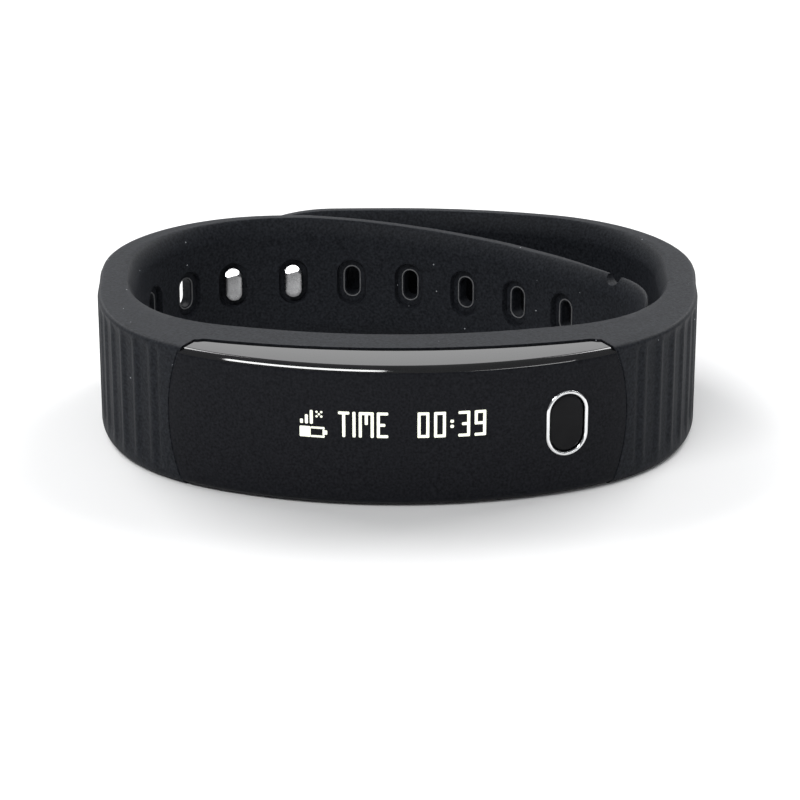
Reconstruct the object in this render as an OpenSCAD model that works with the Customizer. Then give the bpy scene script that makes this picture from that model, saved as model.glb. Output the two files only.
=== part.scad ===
// Fitness tracker band: a soft band whose slotted strap runs inside its clasp strap, and a curved tracker
// core plugged into the band's front. Millimetres, +Z up, standing on the band's lower edge.
// The origin is the centre of the closed band's footprint. The display faces -Y.

/* [Band] */
// Height of the band, which is the width of the strap
band_h = 14.2; // [13.8:0.2:15]
// Thickness of the band where it joins the flanks
flank_t = 4; // [3.8:0.1:4.2]
// Gap between the closed straps and round the tracker core
gap = 0.1; // [0.08:0.01:0.12]
// Number of slots in the slotted strap
slot_count = 9; // [5:1:9]
// Distance between slots
slot_pitch = 6.75; // [6.7:0.05:6.8]
// Width of a slot
slot_w = 1.5; // [1.4:0.1:1.6]
// Height of a slot
slot_h = 3.2; // [3:0.1:3.4]

/* [Tracker core] */
// Thickness of the front cover's wall
cover_t = 1.2; // [1:0.1:1.3]
// Radius of the cover's polished front edges
cover_edge_r = 0.8; // [0.5:0.1:0.9]
// Largest distance of the core's ends from the middle
core_half_w = 22; // [21.5:0.1:22]

/* [Button] */
// Distance of the button from the middle
button_x = 16.1; // [15.8:0.1:16.4]
// Width of the metal ring
ring_w = 4.4; // [4.2:0.1:4.6]
// Height of the metal ring
ring_h = 6.6; // [6:0.1:6.8]
// Width of the ring's visible line
ring_line = 0.38; // [0.3:0.02:0.44]

/* [Clasp] */
// Width of a peg's head
peg_head_w = 2; // [1.9:0.1:2.2]
// Height of a peg's head
peg_head_h = 3.7; // [3.5:0.1:3.9]
// Length of the clasp plate
plate_l = 11.2; // [10.6:0.1:11.4]

/* [Hidden] */
$fn = 96;
step = 1.2;

// Heights
mid_z = band_h / 2;
button_z = mid_z + 0.3;

// Outline of the closed band, as arcs that meet smoothly: centre, radius
front_y = -26.9;
front_r = 42;
front_sweep = 24;
shoulder_r = 23.5;
flank_x = 31;
front_c = [0, front_y + front_r];
shoulder_c = [flank_x - shoulder_r, front_c.y - (front_r - shoulder_r) * cos(front_sweep)];
corner_r = 20;
corner_sweep = 71.7;
corner_c = [flank_x - corner_r, 5.13];
back_r = 55;
// Wrist side of the cradle
wrist_front_r = 49;
wrist_front_c = [0, 31.7];
wrist_front_sweep = 19.5;
wrist_side_r = 16;
wrist_side_c = [flank_x - flank_t - wrist_side_r, 0.6];
// Back of the tracker core's crescent
crescent_r = 64;
crescent_c = [0, 42.36];

// A route is a list of stations [x, y, heading, distance], made of [length, turn] stretches
function station(at, len, turn, f) =
    let (to = at[2] + turn * f, r = turn == 0 ? 0 : len * 180 / PI / turn)
    turn == 0
        ? [at.x + len * f * cos(to), at.y + len * f * sin(to), to, at[3] + len * f]
        : [at.x + r * (sin(to) - sin(at[2])), at.y + r * (cos(at[2]) - cos(to)), to, at[3] + len * f];
function route(at, stretches, i = 0) =
    i == len(stretches)
        ? [at]
        : let (l = stretches[i][0], t = stretches[i][1], n = ceil(l / step))
          concat([for (k = [0:n - 1]) station(at, l, t, k / n)],
              route(station(at, l, t, 1), stretches, i + 1));
function along(path, s) = [for (k = [0:2]) lookup(s, [for (q = path) [q[3], q[k]]])];
function beside(p, d) = [p.x - d * sin(p[2]), p.y + d * cos(p[2])];
function steps(s0, s1) = let (n = ceil((s1 - s0) / step)) [for (i = [0:n]) s0 + (s1 - s0) * i / n];
function backwards(list) = [for (i = [len(list) - 1:-1:0]) list[i]];
function arc_len(r, a) = r * a * PI / 180;

// Outer face of the clasp strap, from its hinge at the right flank round the back to its tip
hinge_y = -0.7;
clasp_route = route([flank_x, hinge_y, 90, 0], [
    [corner_c.y - hinge_y, 0],
    [arc_len(corner_r, corner_sweep), corner_sweep],
    [arc_len(back_r, 90 - corner_sweep), 90 - corner_sweep],
    [20.5, 6.5]]);
clasp_t = [[0, flank_t], [6, 3.9], [20, 2.9], [31, 2.4], [48, 2.3]];
clasp_end_s = 42.3;
clasp_tip_s = 68.9;
clasp_tip_l = 13;

// Middle of the slotted strap, from its hinge at the left flank round the back to its tip, which lies inside
// the right flank
slotted_route = route([-flank_x + flank_t / 2, hinge_y, 90, 0],
    [[6.6, 0], [25, -85], [35.4, -53.32], [8.1, -3.2], [6, -34], [5, -35]]);
slotted_t = [[0, flank_t], [12, 3.5], [21, 3], [31, 2.5], [37, 2.3], [62, 2.2], [74, 1.5], [88, 1.1]];
slotted_drop = [[35, 0], [41, 0.3], [47, 0.65], [53, 0.93], [62, 1.2], [68, 1.15]];
first_slot_s = 13.25;
catch_s = [24.3, 43.9];
tail_s = 57;
slotted_tip_s = 86;
slotted_tip_l = 6;
notch_s = 74;
notch_r = 0.95;
recess_w = 3;
recess_h = 5;
recess_d = 0.6;
function slot_s(k) = first_slot_s + k * slot_pitch;

// Clasp: the pegs stand square to the plate, in the slots numbered here from the strap's root
peg_slots = [2, 3];
peg_tilt = 4.5;
peg_w = 1.1;
peg_h = 2.8;
peg_head_t = 0.8;
plate_h = 8;
plate_t = 0.9;
plate_sink = 0.6;
plate_mid = [-14.4, 26.08];
plate_out = [-sin(peg_tilt), cos(peg_tilt)];
function peg_at(k) = along(slotted_route, slot_s(peg_slots[k]));
function peg_reach(k) = (plate_mid - [peg_at(k).x, peg_at(k).y]) * plate_out;

// Tracker core: its height stays under the band's edges, and its ends are bowed
core_z = [0.15, band_h - 0.15];
core_end_r = 18.7;
core_depth = 9;
mouth_inset = 2;
room_step = 0.6;
fit_gap = 0.03;
window_t = 0.25;
window_z = [1, band_h - 1];
boss_half_w = 19;
boss_z = [2, band_h - 2];
boss_wall = 0.7;
boss_back_r = wrist_front_r + 1.2;
boss_root_r = crescent_r + 0.6;
case_t = 1;
seal_t = 0.5;
seal_half_w = 18.4;
// The button's axis leans with the curved cover
button_lean = asin(button_x / front_r);
button_at = [button_x, front_c.y - sqrt(front_r ^ 2 - button_x ^ 2)];
ring_proud = 0.15;
ring_depth = 1;
pad_gap = 0.06;
pad_proud = 0.05;
flange_w = 0.2;
flange_t = 0.25;
stem_r = 0.5;
dome_h = 0.35;
dome_r = 1.4;
dome_ball_r = 3;
display_y = [-23.5, -22.3];
display_z = [4.75, 11.25];
board_y = [-21.4, -20.6];
board_x = [-0.5, 17.5];
ribbon_x = [6, 11];
ribbon_z = [4.78, 8.9];
ribbon_t = 0.12;
touch = 0.02;
contact_r = 0.7;
contact_t = 0.4;
contact_pitch = 2.4;
motor_c = [14.2, -18.3, mid_z];
motor_r = 3.5;
motor_t = 2.3;
motor_wall = 0.2;
motor_shaft_r = 0.4;

// ---- shapes shared by the parts ----

// A racetrack on the XZ plane, w wide and h tall, running along +Y from y0 to y1
module racetrack(w, h, y0, y1) {
    rotate([90, 0, 0]) translate([0, 0, -y1]) linear_extrude(y1 - y0) {
        square([w, h - w], center = true);
        for (side = [-1, 1]) translate([0, side * (h - w) / 2]) circle(d = w);
    }
}

// A box from its lowest to its highest corner
module block(low, high) {
    translate(low) cube(high - low);
}

// Plan of a strap between two distances; lean is the share of its thickness that lies right of the route
module strap_plan(path, t, lean, s0, s1) {
    at = steps(s0, s1);
    right = [for (s = at) beside(along(path, s), -lean * lookup(s, t))];
    left = [for (s = at) beside(along(path, s), (1 - lean) * lookup(s, t))];
    polygon(concat(right, backwards(left)));
}

// Half-round end of a strap that turns in its neighbour's hollow
module knuckle(at, t) {
    translate([at.x, at.y, 0]) cylinder(d = t, h = band_h);
}

// The hollow for a knuckle, with room for the strap to swing by the angle turn from the direction clear
module hollow(at, t, clear, turn) {
    translate([at.x, at.y, -1]) cylinder(d = t + 2 * gap + 0.1, h = band_h + 2);
    sweep = [for (i = [0:6]) clear + turn * i / 6];
    translate([at.x, at.y, -1]) linear_extrude(band_h + 2)
        polygon(concat([[0, 0]], [for (a = sweep) 6 * [cos(a), sin(a)]]));
}

// Outline seen from the front, for a strap whose top and bottom edges draw in towards a rounded tip
module edge_outline(path, drop, s0, s1, tip_l) {
    at = steps(s0, s1);
    function round_off(s) = s1 - s > tip_l ? 0 : 1 - sqrt(max(0, 1 - (1 - (s1 - s) / tip_l) ^ 2));
    function inset(s) = lookup(s, drop) + (mid_z - lookup(s, drop)) * round_off(s);
    top = [for (s = at) [along(path, s).x, band_h - inset(s)]];
    bottom = [for (s = at) [along(path, s).x, inset(s)]];
    translate([0, 60, 0]) rotate([90, 0, 0]) linear_extrude(120) polygon(concat(bottom, backwards(top)));
}

// ---- band ----

module cradle_plan() {
    front = route([0, front_y, 0, 0], [
        [arc_len(front_r, front_sweep), front_sweep],
        [arc_len(shoulder_r, 90 - front_sweep), 90 - front_sweep],
        [hinge_y - shoulder_c.y, 0]]);
    wrist_end = acos((wrist_side_c.y - hinge_y) / wrist_side_r);
    wrist = concat(
        [for (i = [0:12]) let (a = wrist_front_sweep * i / 12)
            wrist_front_c + wrist_front_r * [sin(a), -cos(a)]],
        [for (i = [1:16]) let (a = wrist_front_sweep + (wrist_end - wrist_front_sweep) * i / 16)
            wrist_side_c + wrist_side_r * [sin(a), -cos(a)]]);
    half = concat([for (q = front) [q.x, q.y]], backwards(wrist));
    polygon(concat(half, [for (q = backwards(half)) [-q.x, q.y]]));
}

module band_cradle() {
    color("#26282c") difference() {
        linear_extrude(band_h) cradle_plan();
        core_space(gap);
        boss(gap);
        hollow([flank_x - flank_t / 2, hinge_y], flank_t, 0, -64);
        hollow([-flank_x + flank_t / 2, hinge_y], flank_t, 180, 22);
    }
}

// Slots number k0 to k1, each with its racetrack recess on the wrist side
module slots(k0, k1) {
    for (k = [k0:k1]) {
        p = along(slotted_route, slot_s(k));
        t = lookup(slot_s(k), slotted_t);
        engaged = k == peg_slots[0] || k == peg_slots[1];
        translate([p.x, p.y, mid_z]) rotate([0, 0, engaged ? peg_tilt : p[2]]) {
            racetrack(slot_w, slot_h, -t, t);
            racetrack(recess_w, recess_h, -t, -t / 2 + recess_d);
        }
    }
}

module slotted_part(s0, s1) {
    linear_extrude(band_h) strap_plan(slotted_route, slotted_t, 0.5, s0, s1);
}

module slotted_strap() {
    color("#26282c") difference() {
        union() {
            slotted_part(0, catch_s[0]);
            knuckle([-flank_x + flank_t / 2, hinge_y], flank_t);
        }
        slots(0, 1);
    }
}

module slotted_strap_catch() {
    color("#2b2d31") difference() {
        intersection() {
            slotted_part(catch_s[0], catch_s[1]);
            edge_outline(slotted_route, slotted_drop, catch_s[0] - 5, slotted_tip_s, slotted_tip_l);
        }
        slots(2, 4);
    }
}

module slotted_strap_middle() {
    color("#26282c") difference() {
        intersection() {
            slotted_part(catch_s[1], tail_s);
            edge_outline(slotted_route, slotted_drop, catch_s[0] - 5, slotted_tip_s, slotted_tip_l);
        }
        slots(5, 6);
        tail_hinge = along(slotted_route, tail_s);
        hollow(tail_hinge, lookup(tail_s, slotted_t), tail_hinge[2] - 90, -20);
    }
}

module slotted_strap_tail() {
    tail_hinge = along(slotted_route, tail_s);
    notch = along(slotted_route, notch_s);
    color("#26282c") difference() {
        intersection() {
            union() {
                slotted_part(tail_s, slotted_tip_s);
                knuckle(tail_hinge, lookup(tail_s, slotted_t));
            }
            edge_outline(slotted_route, slotted_drop, catch_s[0] - 5, slotted_tip_s, slotted_tip_l);
        }
        slots(7, slot_count - 1);
        translate([notch.x, notch.y, band_h - lookup(notch_s, slotted_drop)]) rotate([0, 0, notch[2]])
            rotate([90, 0, 0]) cylinder(r = notch_r, h = 8, center = true);
    }
}

module clasp_strap() {
    end_hinge = along(clasp_route, clasp_end_s);
    end_t = lookup(clasp_end_s, clasp_t);
    color("#2a2c30") difference() {
        union() {
            linear_extrude(band_h) strap_plan(clasp_route, clasp_t, 0, 0, clasp_end_s);
            knuckle([flank_x - flank_t / 2, hinge_y], flank_t);
        }
        hollow(beside(end_hinge, end_t / 2), end_t, end_hinge[2] - 90, -60);
    }
}

// A peg's shaft or head, as a racetrack from y0 to y1 measured outwards from the middle of the slotted strap
module on_peg(k, w, h, y0, y1) {
    p = peg_at(k);
    translate([p.x, p.y, mid_z]) rotate([0, 0, peg_tilt]) racetrack(w, h, y0, y1);
}

// The hole for a peg through the clasp strap and its plate
module peg_hole(k) {
    on_peg(k, peg_w + 2 * touch, peg_h + 2 * touch, 0, 6);
}

// Space of the clasp plate, grown by c
module plate_space(c) {
    translate([plate_mid.x, plate_mid.y, mid_z]) rotate([0, 0, peg_tilt]) rotate([0, 90, 0])
        racetrack(plate_h + 2 * c, plate_l + 2 * c, -plate_sink - c, plate_t - plate_sink + c);
}

module clasp_strap_end() {
    end_hinge = along(clasp_route, clasp_end_s);
    end_t = lookup(clasp_end_s, clasp_t);
    color("#2a2c30") difference() {
        intersection() {
            union() {
                linear_extrude(band_h) strap_plan(clasp_route, clasp_t, 0, clasp_end_s, clasp_tip_s);
                knuckle(beside(end_hinge, end_t / 2), end_t);
            }
            edge_outline(clasp_route, [[0, 0], [100, 0]], clasp_end_s - 5, clasp_tip_s, clasp_tip_l);
        }
        plate_space(touch);
        for (k = [0, 1]) peg_hole(k);
    }
}

module clasp_plate() {
    color("#c9ccd0") difference() {
        plate_space(0);
        for (k = [0, 1]) peg_hole(k);
    }
}

module clasp_pegs() {
    for (k = [0, 1]) {
        wrist_side = -lookup(slot_s(peg_slots[k]), slotted_t) / 2;
        head_y = wrist_side + recess_d - gap;
        color("#d8dadd") {
            on_peg(k, peg_head_w, peg_head_h, head_y - peg_head_t, head_y);
            on_peg(k, peg_w, peg_h, head_y - touch, peg_reach(k) + plate_t - plate_sink - gap);
        }
    }
}

// ---- tracker core ----

// Lower and upper limit of the core, each drawn in by c
function walls_z(c) = [core_z[0] + c, core_z[1] - c];

// The layer of the band's front between d0 and d1 below its face, with front edges rounded by r
module front_layer(d0, d1, z, r) {
    module profile(radius) {
        out = radius - d0 - r;
        polygon(concat(
            [[radius - d1, z[0]]],
            [for (a = [-90:15:0]) [out + r * cos(a), z[0] + r + r * sin(a)]],
            [for (a = [0:15:90]) [out + r * cos(a), z[1] - r + r * sin(a)]],
            [[radius - d1, z[1]]]));
    }
    translate([front_c.x, front_c.y, 0]) rotate([0, 0, -90 - front_sweep])
        rotate_extrude(angle = 2 * front_sweep, $fn = 180) profile(front_r);
    for (side = [0, 1]) mirror([side, 0, 0])
        translate([shoulder_c.x, shoulder_c.y, 0]) rotate([0, 0, -90 + front_sweep])
            rotate_extrude(angle = 35, $fn = 180) profile(shoulder_r);
}

// Seen from the front: the core's outline with its bowed ends, drawn in by c
module core_outline(c) {
    translate([0, 10, 0]) rotate([90, 0, 0]) linear_extrude(50) for (side = [0, 1]) mirror([side, 0])
        intersection() {
            translate([core_half_w - core_end_r, mid_z]) circle(core_end_r - c);
            translate([-1, -5]) square([30, band_h + 10]);
        }
}

// Everything in front of the crescent's back, moved back by c
module before_crescent(c) {
    difference() {
        block([-30, -40, -5], [30, 5, band_h + 5]);
        translate([crescent_c.x, crescent_c.y, -6]) cylinder(r = crescent_r - c, h = band_h + 12, $fn = 360);
    }
}

// Room for the crescent of the core in the band
module core_space(c) {
    intersection() {
        block([-24, -40, -5], [24, 5, band_h + 5]);
        core_outline(-c);
        before_crescent(c);
    }
}

// The boss on the back of the core, from the crescent to just short of the wrist side, grown by c
module boss(c) {
    intersection() {
        block([-boss_half_w - c, -24, boss_z[0] - c], [boss_half_w + c, 0, boss_z[1] + c]);
        translate([crescent_c.x, crescent_c.y, 0]) cylinder(r = boss_root_r, h = band_h, $fn = 360);
        difference() {
            block([-25, -40, -1], [25, 0, band_h + 1]);
            translate([wrist_front_c.x, wrist_front_c.y, -2])
                cylinder(r = boss_back_r - c, h = band_h + 4, $fn = 360);
        }
    }
}

// The button's own frame: +Y points into the core, square to the cover
module at_button() {
    translate([button_at.x, button_at.y, button_z]) rotate([0, 0, button_lean]) children();
}

// The hole for the button's ring
module button_hole() {
    at_button() racetrack(ring_w + touch, ring_h + touch, -1, 4);
}

module front_cover() {
    color("#101113") difference() {
        intersection() {
            front_layer(0, core_depth, core_z, cover_edge_r);
            core_outline(0);
            before_crescent(0);
        }
        // room inside, and a wider mouth that takes the rear case and its seal
        intersection() {
            front_layer(cover_t, core_depth + 1, walls_z(cover_t + room_step), 0);
            core_outline(mouth_inset + room_step);
        }
        difference() {
            intersection() {
                front_layer(cover_t, core_depth + 1, walls_z(cover_t), 0);
                core_outline(mouth_inset);
            }
            before_crescent(-case_t - seal_t - gap);
        }
        window_space();
        button_hole();
    }
}

module window_space() {
    intersection() {
        front_layer(-1, window_t, window_z, 0);
        core_outline(1);
    }
}

module display_window() {
    color("#1b1c1f") difference() {
        intersection() {
            front_layer(0, window_t, window_z, 0);
            core_outline(1);
        }
        button_hole();
    }
}

// The rear case: a curved plate in the cover's mouth, with the hollow boss behind it
module rear_case() {
    inside_z = [boss_z[0] + boss_wall, boss_z[1] - boss_wall];
    color("#1a1b1d") difference() {
        union() {
            difference() {
                intersection() {
                    front_layer(cover_t + fit_gap, core_depth, walls_z(cover_t + fit_gap), 0);
                    core_outline(mouth_inset + fit_gap);
                    before_crescent(0);
                }
                before_crescent(-case_t);
            }
            boss(0);
        }
        intersection() {
            block([-boss_half_w + boss_wall, -40, inside_z[0]], [boss_half_w - boss_wall, 0, inside_z[1]]);
            difference() {
                block([-25, -40, -1], [25, 0, band_h + 1]);
                translate([wrist_front_c.x, wrist_front_c.y, -2])
                    cylinder(r = boss_back_r + boss_wall, h = band_h + 4, $fn = 360);
            }
        }
        contact_row(touch, 1);
    }
}

module case_seal() {
    seal_z = walls_z(cover_t + room_step);
    color("#3a3d42") difference() {
        intersection() {
            front_layer(cover_t + 2 * touch, core_depth, walls_z(cover_t + 2 * touch), 0);
            core_outline(mouth_inset + 2 * touch);
            before_crescent(-case_t - fit_gap);
        }
        before_crescent(-case_t - fit_gap - seal_t);
        intersection() {
            block([-seal_half_w, -40, seal_z[0]], [seal_half_w, 0, seal_z[1]]);
            core_outline(mouth_inset + room_step);
        }
    }
}

module display_panel() {
    color("#2f3b4a") block([-12.9, display_y[0], display_z[0]], [12.9, display_y[1], display_z[1]]);
}

// Display ribbon: off the panel's back, along under it and up onto the board
module display_ribbon() {
    panel_y = display_y[1] + touch;
    onto_y = board_y[0] - touch;
    fold_z = ribbon_z[0] + ribbon_t;
    color("#b5741f") {
        block([ribbon_x[0], panel_y, fold_z], [ribbon_x[1], panel_y + ribbon_t, ribbon_z[1]]);
        block([ribbon_x[0], panel_y, ribbon_z[0]], [ribbon_x[1], onto_y, fold_z]);
        block([ribbon_x[0], onto_y - ribbon_t, fold_z], [ribbon_x[1], onto_y, ribbon_z[1] - 1]);
    }
}

module main_board() {
    color("#1d5c3a") block([board_x[0], board_y[0], 2.9], [board_x[1], board_y[1], 11.3]);
}

module chip(x, z, w, h, t) {
    block([x - w / 2, board_y[1], z - h / 2], [x + w / 2, board_y[1] + t, z + h / 2]);
}

module processor_chip() {
    color("#151515") chip(3.2, 5.8, 4.6, 4.6, 0.9);
}

module motion_sensor() {
    color("#202020") chip(8.2, 5, 2.5, 2.5, 0.9);
}

module chip_antenna() {
    color("#d9d4c4") chip(3.2, 10, 3.2, 1.4, 0.9);
}

// Snap dome under the button's stem, pressed flat when the button goes in
module button_dome() {
    dome_x = button_x - tan(button_lean) * (board_y[0] - button_at.y);
    color("#c0c4c8") translate([dome_x, board_y[0], button_z]) rotate([90, 0, 0])
        intersection() {
            cylinder(r = dome_r, h = dome_h);
            translate([0, 0, dome_h - dome_ball_r]) sphere(r = dome_ball_r);
        }
}

module battery_cell() {
    color("#a9b0b8") block([-16.2, -22.1, 3], [-1.5, -19.4, 11.2]);
}

// Four contacts in a row on the back of the boss, grown by c and reaching out by a further length
module contact_row(c, further) {
    for (i = [0:3]) {
        x = -12 + contact_pitch * i;
        y = wrist_front_c.y - sqrt(boss_back_r ^ 2 - x ^ 2) - contact_t - 2 * gap;
        translate([x, y - c, mid_z]) rotate([-90, 0, 0])
            cylinder(r = contact_r + c, h = contact_t + c + further, $fn = 48);
    }
}

module charging_contacts() {
    color("#d4b35a") contact_row(0, 0);
}

module button_ring() {
    color("#e6e8ea") at_button() difference() {
        racetrack(ring_w, ring_h, -ring_proud, ring_depth);
        racetrack(ring_w - 2 * ring_line, ring_h - 2 * ring_line, -1, 2);
    }
}

// Button pad, with a flange behind the ring that keeps it in and a stem that reaches the dome
module button_pad() {
    pad_w = ring_w - 2 * ring_line - 2 * pad_gap;
    pad_h = ring_h - 2 * ring_line - 2 * pad_gap;
    flange_y = ring_depth + pad_gap;
    stem_end = (board_y[0] - dome_h - touch - button_at.y) / cos(button_lean) - stem_r * tan(button_lean);
    color("#17181a") at_button() {
        racetrack(pad_w, pad_h, -pad_proud, flange_y + touch);
        racetrack(pad_w + 2 * flange_w, pad_h + 2 * flange_w, flange_y, flange_y + flange_t);
        rotate([-90, 0, 0]) cylinder(r = stem_r, h = stem_end);
    }
}

// Coin motor on the board's back: its can and fixed shaft, and the off-centre rotor inside
module motor_can() {
    color("#b9bdc2") translate([motor_c.x, motor_c.y, motor_c.z]) rotate([90, 0, 0]) {
        difference() {
            cylinder(r = motor_r, h = motor_t);
            translate([0, 0, motor_wall]) cylinder(r = motor_r - motor_wall, h = motor_t - 2 * motor_wall);
        }
        cylinder(r = motor_shaft_r, h = motor_t);
    }
}

module motor_rotor() {
    rotor_t = motor_t - 2 * motor_wall - 0.3;
    color("#8a6f3c") translate([motor_c.x, motor_c.y, motor_c.z]) rotate([90, 0, 0])
        translate([0, 0, motor_wall + 0.15]) difference() {
            union() {
                intersection() {
                    cylinder(r = motor_r - motor_wall - 0.2, h = rotor_t);
                    translate([-5, -5, 0]) cube([10, 5, rotor_t]);
                }
                cylinder(r = 1, h = rotor_t);
            }
            translate([0, 0, -1]) cylinder(r = motor_shaft_r + 0.05, h = rotor_t + 2);
        }
}

band_cradle();
slotted_strap();
slotted_strap_catch();
slotted_strap_middle();
slotted_strap_tail();
clasp_strap();
clasp_strap_end();
clasp_plate();
clasp_pegs();
front_cover();
display_window();
rear_case();
case_seal();
display_panel();
display_ribbon();
main_board();
processor_chip();
motion_sensor();
chip_antenna();
button_dome();
battery_cell();
charging_contacts();
button_ring();
button_pad();
motor_can();
motor_rotor();
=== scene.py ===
"""Looks of the fitness tracker band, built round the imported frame.
Lengths are millimetres in the design's own frame, and make_piece() turns them into metres."""
import math

import bmesh
import bpy
import numpy as np
from mathutils import Matrix, Vector


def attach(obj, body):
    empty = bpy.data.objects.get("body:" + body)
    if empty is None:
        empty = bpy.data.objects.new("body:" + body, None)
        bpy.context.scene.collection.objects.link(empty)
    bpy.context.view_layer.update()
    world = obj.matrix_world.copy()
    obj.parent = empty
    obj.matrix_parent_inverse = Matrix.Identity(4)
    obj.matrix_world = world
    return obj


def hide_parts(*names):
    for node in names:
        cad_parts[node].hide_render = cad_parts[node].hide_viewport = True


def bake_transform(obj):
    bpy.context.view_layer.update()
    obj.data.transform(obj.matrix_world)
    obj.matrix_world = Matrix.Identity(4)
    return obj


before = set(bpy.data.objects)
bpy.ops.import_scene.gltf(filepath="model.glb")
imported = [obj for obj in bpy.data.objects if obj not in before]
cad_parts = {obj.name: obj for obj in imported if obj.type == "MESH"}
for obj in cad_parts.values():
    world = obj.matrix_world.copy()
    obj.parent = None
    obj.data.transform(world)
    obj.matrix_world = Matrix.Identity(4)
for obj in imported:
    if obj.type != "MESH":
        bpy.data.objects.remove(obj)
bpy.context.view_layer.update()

MM = 0.001

# ---- the design's driving dimensions, as in the CAD source ----
BAND_H = 14.2
MID_Z = BAND_H / 2
FLANK_X = 31.0
FLANK_T = 4.0
HINGE_Y = -0.7
GAP = 0.1
SNUG = 0.05  # how closely the soft band fits round the core
TOUCH = 0.02  # clearance of pieces that are pressed into each other
FRONT_Y = -26.9
FRONT_R = 42.0
FRONT_SWEEP = 24.0
SHOULDER_R = 23.5
FRONT_C = (0.0, FRONT_Y + FRONT_R)
SHOULDER_C = (FLANK_X - SHOULDER_R, FRONT_C[1] - (FRONT_R - SHOULDER_R) * math.cos(math.radians(FRONT_SWEEP)))
CORNER_R = 20.0
CORNER_SWEEP = 71.7
BACK_R = 55.0
WRIST_FRONT = (0.0, 31.7, 49.0)
WRIST_FRONT_SWEEP = 19.5
WRIST_SIDE = (11.0, 0.6, 16.0)
CRESCENT = (0.0, 42.36, 64.0)
CLASP_START = (FLANK_X, HINGE_Y, 90.0)
CLASP_STRETCHES = (
    (5.13 - HINGE_Y, 0.0),
    (math.radians(CORNER_SWEEP) * CORNER_R, CORNER_SWEEP),
    (math.radians(90 - CORNER_SWEEP) * BACK_R, 90 - CORNER_SWEEP),
    (20.5, 6.5),
)
CLASP_T = ((0, FLANK_T), (6, 3.9), (20, 2.9), (31, 2.4), (48, 2.3))
CLASP_TIP_S = 68.9
CLASP_TIP_L = 13.0
SLOTTED_START = (-FLANK_X + FLANK_T / 2, HINGE_Y, 90.0)
SLOTTED_STRETCHES = ((6.6, 0.0), (25.0, -85.0), (35.4, -53.32), (8.1, -3.2), (6.0, -34.0), (5.0, -35.0))
SLOTTED_T = ((0, FLANK_T), (12, 3.5), (21, 3.0), (31, 2.5), (37, 2.3), (62, 2.2), (74, 1.5), (88, 1.1))
SLOTTED_DROP = ((35, 0), (41, 0.3), (47, 0.65), (53, 0.93), (62, 1.2), (68, 1.15))
SLOTTED_TIP_S = 86.0
SLOTTED_TIP_L = 6.0
NOTCH_S = 74.0
NOTCH_R = 0.95
FIRST_SLOT_S = 13.25
SLOT_PITCH = 6.75
SLOT_COUNT = 9
SLOT = (1.5, 3.2)
RECESS = (3.0, 5.0)
RECESS_D = 0.6
PEG_SLOTS = (2, 3)
PEG_TILT = 4.5
PEG = (1.1, 2.8)
PEG_HEAD = (2.0, 3.7)
PEG_HEAD_T = 0.8
PLATE_MID = (-14.4, 26.08)
PLATE = (11.2, 8.0)
PLATE_T = 0.9
PLATE_SINK = 0.6
CORE_Z = (0.15, BAND_H - 0.15)
CORE_HALF_W = 22.0
CORE_END_R = 18.7
COVER_T = 1.2
COVER_EDGE_R = 0.8
BOSS_HALF_W = 19.0
BOSS_Z = (2.0, BAND_H - 2.0)
BOSS_BACK_R = WRIST_FRONT[2] + 1.2
BUTTON_X = 16.1
BUTTON_Z = MID_Z + 0.3
BUTTON_LEAN = math.degrees(math.asin(BUTTON_X / FRONT_R))
BUTTON_AT = (BUTTON_X, FRONT_C[1] - math.sqrt(FRONT_R**2 - BUTTON_X**2))
RING = (4.4, 6.6)
RING_LINE = 0.38
BOARD_FRONT_Y = -21.4
DOME_H = 0.35
SEAM_S = 10.0  # the band's halves end and the straps start here, past the hinges


# ---- routes and lookups ----
def cosd(a):
    return math.cos(math.radians(a))


def sind(a):
    return math.sin(math.radians(a))


def look(s, table):
    return float(np.interp(s, [row[0] for row in table], [row[1] for row in table]))


def ramp(x, low, high):
    """0 below low, 1 above high, smooth between; low may be the larger one."""
    f = min(1.0, max(0.0, (x - low) / (high - low)))
    return f * f * (3 - 2 * f)


def station(at, length, turn, f):
    """The place and heading a share f of the way along a stretch."""
    x, y, heading = at
    to = heading + turn * f
    if turn == 0:
        return x + length * f * cosd(to), y + length * f * sind(to), to
    r = length / math.radians(turn)
    return x + r * (sind(to) - sind(heading)), y + r * (cosd(heading) - cosd(to)), to


def along(start, stretches, s):
    """The place and heading at distance s on a route of straight and round stretches."""
    at = start
    for length, turn in stretches[:-1]:
        if s <= length:
            return station(at, length, turn, s / length)
        at = station(at, length, turn, 1)
        s -= length
    length, turn = stretches[-1]
    return station(at, length, turn, s / length)


def slot_s(k):
    return FIRST_SLOT_S + k * SLOT_PITCH


# ---- meshes ----
def make_piece(name, verts, faces):
    mesh = bpy.data.meshes.new(name)
    mesh.from_pydata([(x * MM, y * MM, z * MM) for x, y, z in verts], [], faces)
    bm = bmesh.new()
    bm.from_mesh(mesh)
    bmesh.ops.recalc_face_normals(bm, faces=bm.faces)
    bm.to_mesh(mesh)
    bm.free()
    piece = bpy.data.objects.new(name, mesh)
    bpy.context.scene.collection.objects.link(piece)
    return piece


def joined(name, shapes):
    """One piece made of several separate (verts, faces) shapes."""
    verts, faces = [], []
    for v, f in shapes:
        faces += [[i + len(verts) for i in face] for face in f]
        verts += v
    return make_piece(name, verts, faces)


def cut(piece, shapes):
    """Takes closed shapes away from a piece, with the exact solver."""
    cutter = joined("cutter", shapes)
    step = piece.modifiers.new("cut", "BOOLEAN")
    step.operation = "DIFFERENCE"
    step.solver = "EXACT"
    step.object = cutter
    made = bpy.data.meshes.new_from_object(piece.evaluated_get(bpy.context.evaluated_depsgraph_get()))
    piece.modifiers.remove(step)
    old = piece.data
    piece.data = made
    bpy.data.meshes.remove(old)
    bpy.data.objects.remove(cutter)
    made.name = piece.name


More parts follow.
